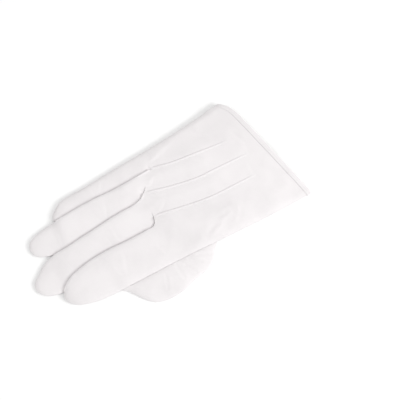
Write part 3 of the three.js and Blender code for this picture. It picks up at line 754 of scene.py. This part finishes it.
def lay_finger_palm(cloth, k, top_heights, neighbour):
    """Palm side of one finger, a strip's height below its back at each inner edge."""
    points = finger_plans[k][0].reshape(-1, 2)
    run = finger_run(k)
    strip = STRIP_HEIGHT + (FORK_DROP - STRIP_HEIGHT) * (1 - ease(run, 0, 9))
    strip = UNDER_GAP + (strip - UNDER_GAP) * (1 - ease(run / run[-1], 0.80, 0.93))
    near_top, far_top = top_heights
    near_seam = near_top - (UNDER_GAP if k == 0 else strip)
    far_seam = far_top - (UNDER_GAP if k == 3 else strip)
    seam = finger_level(k, (near_seam, far_seam), palm_level)
    low = resting_height(points, 12.0)
    if neighbour is not None:
        low = np.maximum(low, height_over(neighbour, points, LAYER_FALL) + LAYER_CLEAR)
    near, far = [away(points, border) for border in finger_borders(k)]
    lip = seam - SEAM_LIP * ease(np.repeat(run, COLUMNS), 0, 4)
    rounding = round_edge(np.minimum(near, far) / UNDER_ROUND)
    heights = np.maximum(lip + (low - lip) * rounding, FLOOR_CLEAR)
    cloth.put_finger(k, heights, seam, (near_top[-1] + far_top[-1]) / 2 - UNDER_GAP, False)


palm_cloth = Cloth()
lay_palm_of_hand(palm_cloth)
for finger in range(4):
    lay_finger_palm(palm_cloth, finger, finger_seams[finger], finger_trees.get(finger + 1))


# Materials


def feed(material, node, **inputs):
    """Sets a node's inputs, and links those that are given another node's output."""
    for name, value in inputs.items():
        socket = node.inputs[name.replace("_", " ")]
        if isinstance(value, bpy.types.NodeSocket):
            material.node_tree.links.new(value, socket)
        else:
            socket.default_value = value


def feed_surface(material, **inputs):
    feed(material, material.node_tree.nodes["Principled BSDF"], **inputs)


def add_node(material, kind, **inputs):
    node = material.node_tree.nodes.new(f"ShaderNode{kind}")
    feed(material, node, **inputs)
    return node


def new_material(name, colour, roughness, **values):
    material = bpy.data.materials.new(name)
    material.use_nodes = True
    feed_surface(material, Base_Color=(*colour, 1), Roughness=roughness, **values)
    return material


def object_place(material):
    return add_node(material, "TexCoord").outputs["Object"]


def mottle(material, place, scale, detail, **inputs):
    return add_node(material, "TexNoise", Vector=place, Scale=scale, Detail=detail, **inputs).outputs["Fac"]


def bands(material, place, direction, period, **inputs):
    """Straight bands with a period in metres."""
    scale = 2 * math.pi / (20 * period)
    node = add_node(material, "TexWave", Vector=place, Scale=scale, **inputs)
    node.bands_direction = direction
    return node.outputs["Fac"]


def multiply_add(material, value, factor, addend):
    node = add_node(material, "Math")
    node.operation = "MULTIPLY_ADD"
    material.node_tree.links.new(value, node.inputs[0])
    node.inputs[1].default_value = factor
    material.node_tree.links.new(addend, node.inputs[2])
    return node.outputs["Value"]


def tint(material, pattern, dark, light, start=0.0, end=1.0):
    """Colours the surface from dark to light by a pattern."""
    ramp = add_node(material, "ValToRGB", Fac=pattern)
    for stop, place, colour in zip(ramp.color_ramp.elements, (start, end), (dark, light)):
        stop.position = place
        stop.color = (*colour, 1)
    feed_surface(material, Base_Color=ramp.outputs["Color"])


def emboss(material, pattern, strength, depth):
    bump = add_node(material, "Bump", Height=pattern, Strength=strength, Distance=depth)
    feed_surface(material, Normal=bump.outputs["Normal"])


def vary_gloss(material, pattern, least, most):
    spread = add_node(material, "MapRange", Value=pattern, To_Min=least, To_Max=most)
    feed_surface(material, Roughness=spread.outputs["Result"])


def knitted_cotton(name, dark, light, turn=0.0, rib=0.00060, course=0.00046):
    """Fine knitted cotton: ribs along the hand, rows across, loose fibres and a faint unevenness."""
    cotton = new_material(
        name, light, 0.86, Sheen_Weight=0.22, Sheen_Roughness=0.55, Specular_IOR_Level=0.25)
    place = object_place(cotton)
    turned = add_node(cotton, "Mapping", Vector=place, Rotation=(0, 0, turn)).outputs["Vector"]
    fibres = mottle(cotton, turned, 2600, 4, Roughness=0.65)
    ribs = bands(cotton, turned, "X", rib, Distortion=0.9, Detail=1.5, Detail_Scale=0.5)
    courses = bands(cotton, turned, "Y", course, Distortion=1.4, Detail=1.5, Detail_Scale=0.6)
    knit = multiply_add(cotton, courses, 0.6, ribs)
    surface = multiply_add(cotton, fibres, 0.9, knit)
    emboss(cotton, surface, 0.55, 0.00009)
    shade = multiply_add(cotton, surface, 0.22, mottle(cotton, place, 42, 5))
    tint(cotton, shade, dark, light, 0.3, 0.85)
    return cotton


def sewing_thread():
    thread = new_material(
        "white sewing thread", (0.86, 0.855, 0.85), 0.6, Sheen_Weight=0.3, Specular_IOR_Level=0.4)
    plies = bands(thread, object_place(thread), "DIAGONAL", 0.00035)
    emboss(thread, plies, 0.5, 0.00005)
    tint(thread, plies, (0.78, 0.775, 0.77), (0.88, 0.875, 0.87))
    return thread


def pearl_enamel():
    pearl = new_material("pearl white cap", (0.86, 0.84, 0.80), 0.2, Coat_Weight=0.7, Coat_Roughness=0.08)
    swirl = mottle(pearl, object_place(pearl), 260, 5, Distortion=2.2)
    tint(pearl, swirl, (0.80, 0.785, 0.765), (0.90, 0.88, 0.83), 0.3, 0.7)
    vary_gloss(pearl, swirl, 0.14, 0.3)
    return pearl


def pale_brass():
    brass = new_material("pale brass", (0.74, 0.57, 0.28), 0.3, Metallic=1.0)
    wear = mottle(brass, object_place(brass), 700, 6)
    tint(brass, wear, (0.68, 0.51, 0.23), (0.78, 0.61, 0.31), 0.35, 0.65)
    vary_gloss(brass, wear, 0.2, 0.45)
    return brass


glove_cotton = knitted_cotton("white cotton knit", (0.715, 0.690, 0.697), (0.815, 0.787, 0.794))
strip_cotton = knitted_cotton("white cotton strip", (0.70, 0.676, 0.682), (0.79, 0.763, 0.770), 0.35)
hem_cotton = knitted_cotton(
    "white cotton hem", (0.705, 0.681, 0.687), (0.805, 0.777, 0.785), 1.35, 0.00055, 0.00050)
thread = sewing_thread()
pearl = pearl_enamel()
brass = pale_brass()


# Making a piece


def new_object(name, contents):
    made = bpy.data.objects.new(name, contents)
    bpy.context.scene.collection.objects.link(made)
    return made


def add_to_glove(piece, material):
    piece.data.materials.append(material)
    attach(piece, "root")


def cotton_piece(name, vertices, faces, material):
    """A smooth mesh in metres from vertices in the glove's millimetres."""
    mesh = bpy.data.meshes.new(name)
    placed = (np.array(vertices, float) + (ORIGIN_X, ORIGIN_Y, 0)) * MM
    mesh.from_pydata([tuple(v) for v in placed], [], [tuple(int(i) for i in f) for f in faces])
    mesh.validate()
    mesh.update()
    for polygon in mesh.polygons:
        polygon.use_smooth = True
    piece = new_object(name, mesh)
    add_to_glove(piece, material)
    return piece


def select_only(piece):
    bpy.ops.object.select_all(action="DESELECT")
    piece.select_set(True)
    bpy.context.view_layer.objects.active = piece


def edit_all(piece):
    """Opens a piece in edit mode with all of it selected."""
    select_only(piece)
    bpy.ops.object.mode_set(mode="EDIT")
    bpy.ops.mesh.select_all(action="SELECT")


def turn_faces_outwards(piece):
    edit_all(piece)
    bpy.ops.mesh.normals_make_consistent(inside=False)
    bpy.ops.object.mode_set(mode="OBJECT")


def thicken(piece, wall, offset=-1.0, shares=None):
    """Gives a layer of cloth its wall, thinner where its vertices have a share under 1."""
    select_only(piece)
    solidify = piece.modifiers.new("Cloth", "SOLIDIFY")
    solidify.thickness = wall * MM
    solidify.offset = offset
    solidify.use_rim = True
    if shares is not None:
        group = piece.vertex_groups.new(name="cloth")
        for share in sorted(set(shares)):
            group.add([i for i, value in enumerate(shares) if value == share], share, "REPLACE")
        solidify.vertex_group = group.name
    bpy.ops.object.modifier_apply(modifier=solidify.name)
    for vertex in piece.data.vertices:
        vertex.co.z = max(vertex.co.z, LEAST_HEIGHT * MM)
    edit_all(piece)
    bpy.ops.mesh.delete_loose()
    bpy.ops.object.mode_set(mode="OBJECT")


SEAM_SHARES = (0.30, 0.45, 0.65, 0.85)


def wall_share(key):
    """Share of the cloth's full wall at a grid key: thin beside side seams, forks and fingers' edges."""
    if key[0] == "tip":
        return SEAM_SHARES[0]
    part, strip, row, column = key
    far_half = column > COLUMNS // 2
    if part == "hand":
        side_seam = strip == (STRIPS - 1 if far_half else 0)
        at_fork = row > HAND_ROWS - 3 and not (strip == 0 and far_half)
        if not side_seam and not at_fork:
            return 1.0
    from_edge = min(column, LAST - column)
    return SEAM_SHARES[from_edge] if from_edge < len(SEAM_SHARES) else 1.0


# The cloth pieces


def glove_side(name, cloth, replaced):
    side = cotton_piece(name, cloth.vertices, cloth.faces, glove_cotton)
    thicken(side, CLOTH, shares=[wall_share(key) for key in cloth.vertex_of])
    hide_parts(replaced)


glove_side("glove_back", back_cloth, "back_panel")
glove_side("glove_palm", palm_cloth, "palm_panel")
thumb = cotton_piece("glove_thumb", thumb_vertices, thumb_faces, glove_cotton)
thicken(thumb, THUMB_CLOTH)
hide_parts("thumb")

# Strips between the fingers, folded at the fork
STRIP_ACROSS = 5
STRIP_END = int(FINGER_ROWS * 0.93)
STRIP_TUCK = 0.12
STRIP_BOW = 0.42


def strip_section(finger, v, column):
    """Points of a strip from the back's edge down to the palm's, slightly bowed into the finger."""
    key = finger_key(finger, v, column)
    top, low = back_cloth.place(key), palm_cloth.place(key)
    rows = finger_plans[finger][0]
    inward = unit(rows[v, COLUMNS // 2] - rows[v, column]) if v else np.array((0.0, -1.0))
    section = []
    for u in np.linspace(0, 1, STRIP_ACROSS):
        point = top + (low - top) * (0.02 + 0.96 * u)
        point[:2] += inward * (STRIP_TUCK + STRIP_BOW * math.sin(math.pi * u))
        section.append(point)
    return section


def finger_strip(name, k):
    """Strip from the tip of one finger round the fork to the tip of the next."""
    path = [(k, v, LAST) for v in range(STRIP_END, 0, -1)] + [(k + 1, v, 0) for v in range(STRIP_END + 1)]
    vertices = [point for stop in path for point in strip_section(*stop)]
    faces = []
    for p in range(len(path) - 1):
        for i in range(STRIP_ACROSS - 1):
            a = p * STRIP_ACROSS + i
            faces.append((a, a + 1, a + 1 + STRIP_ACROSS, a + STRIP_ACROSS))
    strip = cotton_piece(f"strip_{name}", vertices, faces, strip_cotton)
    thicken(strip, STRIP_CLOTH, 1.0)
    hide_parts(f"fourchette_{name}")


for finger, fork_name in enumerate(("index_middle", "middle_ring", "ring_little")):
    finger_strip(fork_name, finger)

# Turned hem round the wrist and along the vent: its section from the hem's edge inwards, and outwards
HEM_SECTION = [
    (HEM_WIDTH, 0.05), (HEM_WIDTH, 0.30), (3.7, 0.52), (2.9, 0.36), (2.0, 0.50), (0.9, 0.52), (0.1, 0.40),
    (-0.45, 0.0), (-0.6, -0.42), (-0.4, -0.9), (0.2, -1.25), (1.4, -1.4), (2.9, -1.3), (3.7, -1.4),
    (HEM_WIDTH, -1.15), (HEM_WIDTH, -0.85)]
HEM_STITCH_LINE = 2.9
HEM_FLOOR = 0.12
HEM_STEP = 0.2
HEM_SMOOTHING = (1, 2, 3, 4, 3, 2, 1)
VENT_TURNS = (20, 50, 90, 130, 160)
VENT_ROUND = 0.45
ON_BACK, IN_VENT, ON_PALM = 1, 0, -1
vent_end = palm_cloth.place(palm_key(2, VENT_ROWS, 0))


def hem_run(cloth, key_of, side, places, rows_in=0, columns_in=0):
    """Where the hem runs, which way is into the cloth, and which side of the glove it is on."""
    stops = []
    for j, r, c in places:
        here = cloth.place(key_of(j, r, c))
        inner = cloth.place(key_of(j, r + rows_in, c + columns_in))
        stops.append((here, unit(inner - here), side))
    return stops


def hem_route():
    """Once round: along the back, on the palm side to the vent, round the vent, and on."""
    back = [(j, 0, c) for j in range(STRIPS) for c in range(1 if j == 0 else 0, LAST)]
    little_side = [(j, 0, c) for j in (3, 2) for c in range(LAST, 2 if j == 2 else 0, -1)]
    up_vent = [(2, r, 0) for r in range(VENT_ROWS)]
    down_vent = [(1, r, LAST) for r in reversed(range(VENT_ROWS))]
    thumb_side = [(j, 0, c) for j in (1, 0) for c in range(LAST - 2 if j == 1 else LAST, 0, -1)]
    palm = (palm_cloth, palm_key, ON_PALM)
    route = hem_run(back_cloth, hand_key, ON_BACK, back, rows_in=3)
    route += hem_run(*palm, little_side, rows_in=3)
    route += hem_run(*palm, up_vent, columns_in=6)
    for turn in VENT_TURNS:
        way = np.array((math.cos(math.radians(turn)), math.sin(math.radians(turn)), 0))
        route.append((vent_end + way * VENT_ROUND, way, IN_VENT))
    route += hem_run(*palm, down_vent, columns_in=-6)
    route += hem_run(*palm, thumb_side, rows_in=3)
    spaced = [route[0]]
    for stop in route[1:]:
        if np.linalg.norm(stop[0] - spaced[-1][0]) > HEM_STEP:
            spaced.append(stop)
    return [np.array(column) for column in zip(*spaced)]


def hem_band(stops, inward):
    """Vertices and faces of the hem's section carried round its route."""
    along = unit(np.roll(stops, -1, axis=0) - np.roll(stops, 1, axis=0))
    outward = unit(np.cross(along, inward))
    vertices = []
    for i, stop in enumerate(stops):
        wave = 0.6 * (0.10 * math.sin(i * 1.7) + 0.06 * math.sin(i * 0.61 + 1.0))
        for into, out in HEM_SECTION:
            swell = out + (wave if 0.5 < into < 3.8 else 0)
            vertices.append(stop + inward[i] * into + outward[i] * swell)
    vertices = np.array(vertices)
    vertices[:, 2] = np.maximum(vertices[:, 2], HEM_FLOOR)
    ring = len(HEM_SECTION)
    faces = []
    for i in range(len(stops)):
        n = (i + 1) % len(stops)
        for p in range(ring):
            q = (p + 1) % ring
            faces.append((i * ring + p, i * ring + q, n * ring + q, n * ring + p))
    return vertices, faces


hem_stops, hem_inward, hem_sides = hem_route()
hem_inward = unit(sum(
    weight * np.roll(hem_inward, 3 - i, axis=0) for i, weight in enumerate(HEM_SMOOTHING)))
hem_vertices, hem_faces = hem_band(hem_stops, hem_inward)
hem = cotton_piece("wrist_hem_band", hem_vertices, hem_faces, hem_cotton)
turn_faces_outwards(hem)
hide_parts("wrist_hem")

# Stitches: one is modelled and copied along the points, the hem and the vent's end
bpy.ops.object.select_all(action="DESELECT")
bpy.ops.mesh.primitive_uv_sphere_add(segments=8, ring_count=6, radius=1.0)
pattern = bpy.context.object
stitch_shape = [Vector((v.co.z, v.co.x, v.co.y)) for v in pattern.data.vertices]
stitch_faces = [tuple(p.vertices) for p in pattern.data.polygons]
bpy.data.objects.remove(pattern)
POINT_STITCH = {"pitch": 2.3, "share": 0.62, "above": 0.03, "thick": 0.16}
HEM_STITCH = {"pitch": 2.6, "share": 0.66, "above": 0.02, "thick": 0.17}
UNDER_STITCH = {"pitch": 2.6, "share": 0.66, "above": 0.0, "thick": 0.17, "from_below": True}
STITCH_STRETCH = 1.05
STITCH_FLAT = 0.8
TACK_THICK = 0.2
TACK_HALF = (0.1, 2.1)
TACK_PITCH = 0.42
TACK_COUNT = 6


def stitch_row(line, tree, pitch, share, above, thick, from_below=False):
    """Stitches that lie on the cloth along a line in the plan."""
    run = distance_along(line[:, :2])
    lift = UP * (-above if from_below else above)
    stitches = []
    for i in range(int(run[-1] / pitch)):
        ends = [on_cloth(tree, np.interp(s, run, line[:, 0]), np.interp(s, run, line[:, 1]), from_below)
                for s in (i * pitch, (i + share) * pitch)]
        if None not in ends:
            stitches.append((ends[0] + lift, ends[1] + lift, thick))
    return stitches


def stitch_piece(name, stitches):
    vertices, faces = [], []
    for start, end, thick in stitches:
        way = end - start
        half = way.length / 2
        way.normalize()
        side = way.cross(UP).normalized()
        up = side.cross(way)
        base = len(vertices)
        for p in stitch_shape:
            place = (start + end) / 2 + way * (p.x * half * STITCH_STRETCH)
            vertices.append(tuple(place + side * (p.y * thick) + up * (p.z * thick * STITCH_FLAT)))
        faces += [tuple(i + base for i in face) for face in stitch_faces]
    turn_faces_outwards(cotton_piece(name, vertices, faces, thread))


point_stitches = []
for line, (fade_from, _) in zip(point_lines, POINT_FADES):
    rows = line[(line[:, 1] > fade_from + 2) & (line[:, 1] < line[-1, 1] - 3)]
    way = unit(np.gradient(rows, axis=0))
    beside = rows + np.column_stack([-way[:, 1], way[:, 0]])
    point_stitches += stitch_row(beside, back_tree, **POINT_STITCH)
stitch_piece("point_stitches", point_stitches)

hem_tree = tree_of(hem_vertices, hem_faces)
tack_stitches = []
for i in range(TACK_COUNT):
    y = vent_end[1] + 0.2 + i * TACK_PITCH
    for side in (-1, 1):
        ends = [on_cloth(hem_tree, side * TACK_HALF[n], y + 0.1 * n, True) for n in (0, 1)]
        if None not in ends:
            tack_stitches.append((*ends, TACK_THICK))
stitch_piece("vent_tack", tack_stitches)

hem_line = hem_stops + hem_inward * HEM_STITCH_LINE
stitch_piece("hem_stitches", stitch_row(hem_line[hem_sides == ON_BACK][3:-3], hem_tree, **HEM_STITCH)
             + stitch_row(hem_line[hem_sides == ON_PALM][3:-3], hem_tree, **UNDER_STITCH))

# Snap: pearl cap on the flap at the little finger's side, brass stud on the other. Each part is spun
# from its half outline, a radius and a height at each corner.
CAP_OUTLINE = [
    (0, 0.0), (2.2, 0.02), (4.0, 0.14), (5.1, 0.36), (5.75, 0.66), (6.0, 0.96), (5.9, 1.2), (5.6, 1.35),
    (1.5, 1.38), (1.5, 3.5), (3.6, 3.52), (3.8, 3.7), (3.75, 4.05), (3.3, 4.2), (1.3, 4.22), (1.1, 3.9),
    (0, 3.86)]
RIM_OUTLINE = [
    (5.5, 1.12), (5.95, 1.0), (6.25, 1.05), (6.3, 1.25), (6.1, 1.42), (5.5, 1.42), (5.5, 1.12)]
STUD_OUTLINE = [
    (0, 0.08), (0.7, 0.06), (1.3, 0.1), (1.85, 0.02), (2.1, 0.2), (2.05, 0.45), (1.7, 0.75), (1.75, 0.86),
    (3.2, 0.88), (3.75, 0.95), (4.0, 1.12), (3.9, 1.34), (3.5, 1.44), (1.5, 1.44), (1.5, 3.5), (3.5, 3.5),
    (3.8, 3.68), (3.75, 4.05), (3.3, 4.22), (1.3, 4.22), (1.1, 3.9), (0, 3.86)]
SPIN_STEPS = 64
SAME_PLACE = 0.000005
SHARP_TURN = math.radians(38)


def spun(name, outline, from_vent, material):
    """A turned part, spun about its own upright axis."""
    mesh = bpy.data.meshes.new(name)
    centre = Vector(((from_vent + ORIGIN_X) * MM, (SNAP_FROM_HEM + ORIGIN_Y) * MM, 0))
    mesh.from_pydata([(centre.x + r * MM, centre.y, z * MM) for r, z in outline],
                     [(i, i + 1) for i in range(len(outline) - 1)], [])
    part = new_object(name, mesh)
    edit_all(part)
    bpy.ops.mesh.spin(steps=SPIN_STEPS, angle=2 * math.pi, center=centre, axis=(0, 0, 1))
    bpy.ops.mesh.select_all(action="SELECT")
    bpy.ops.mesh.remove_doubles(threshold=SAME_PLACE)
    bpy.ops.mesh.normals_make_consistent(inside=False)
    bpy.ops.object.mode_set(mode="OBJECT")
    bpy.ops.object.shade_smooth_by_angle(angle=SHARP_TURN)
    add_to_glove(part, material)
    return part


cap = spun("pearl_cap", CAP_OUTLINE, SNAP_FROM_VENT, pearl)
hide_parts("snap_cap")
spun("cap_rim", RIM_OUTLINE, SNAP_FROM_VENT, brass)
stud = spun("brass_snap_stud", STUD_OUTLINE, -SNAP_FROM_VENT, brass)
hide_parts("snap_stud")

# Floor, light and camera, in metres
FLOOR_SIZE = 6.0
ROOM_LIGHT = 0.72
VIEW_WIDTH = 0.3604
VIEW_TURN = math.radians(240)
VIEW_TILT = math.radians(8)
VIEW_TARGET = Vector((-0.0019, -0.0388, 0.004))
LENS = 100
SENSOR = 36
bpy.ops.object.select_all(action="DESELECT")
bpy.ops.mesh.primitive_plane_add(size=FLOOR_SIZE, location=(0, 0, 0))
floor = bpy.context.object
floor.name = "white_floor"
floor.data.materials.append(new_material("white paper floor", (0.95, 0.95, 0.95), 0.9))

world = bpy.data.worlds.new("soft white room")
world.use_nodes = True
room = world.node_tree.nodes["Background"]
room.inputs["Color"].default_value = (1.0, 1.0, 0.995, 1)
room.inputs["Strength"].default_value = ROOM_LIGHT
bpy.context.scene.world = world


def soft_light(name, place, size, power):
    """A square lamp that shines at the glove."""
    light = bpy.data.lights.new(name, "AREA")
    light.size = size
    light.energy = power
    lamp = new_object(name, light)
    lamp.location = place
    lamp.rotation_euler = (-Vector(place)).to_track_quat("-Z", "Y").to_euler()


soft_light("window", (-0.80, -0.75, 0.85), 0.6, 8.4)
soft_light("overhead", (0.1, 0.1, 3.2), 2.6, 20)
bpy.context.scene.view_settings.view_transform = "Standard"

across = Vector((math.cos(VIEW_TURN), math.sin(VIEW_TURN), 0))
upwards = Vector((-across.y, across.x, 0))
back_off = UP * math.cos(VIEW_TILT) - upwards * math.sin(VIEW_TILT)
camera_data = bpy.data.cameras.new("photo view")
camera_data.lens = LENS
camera_data.sensor_width = SENSOR
camera_data.clip_start = 0.01
camera_data.clip_end = 50
camera = new_object("photo view", camera_data)
turn = Matrix((across, back_off.cross(across), back_off)).transposed()
stand = VIEW_TARGET + back_off * (VIEW_WIDTH * LENS / SENSOR)
camera.matrix_world = Matrix.Translation(stand) @ turn.to_4x4()
bpy.context.scene.camera = camera
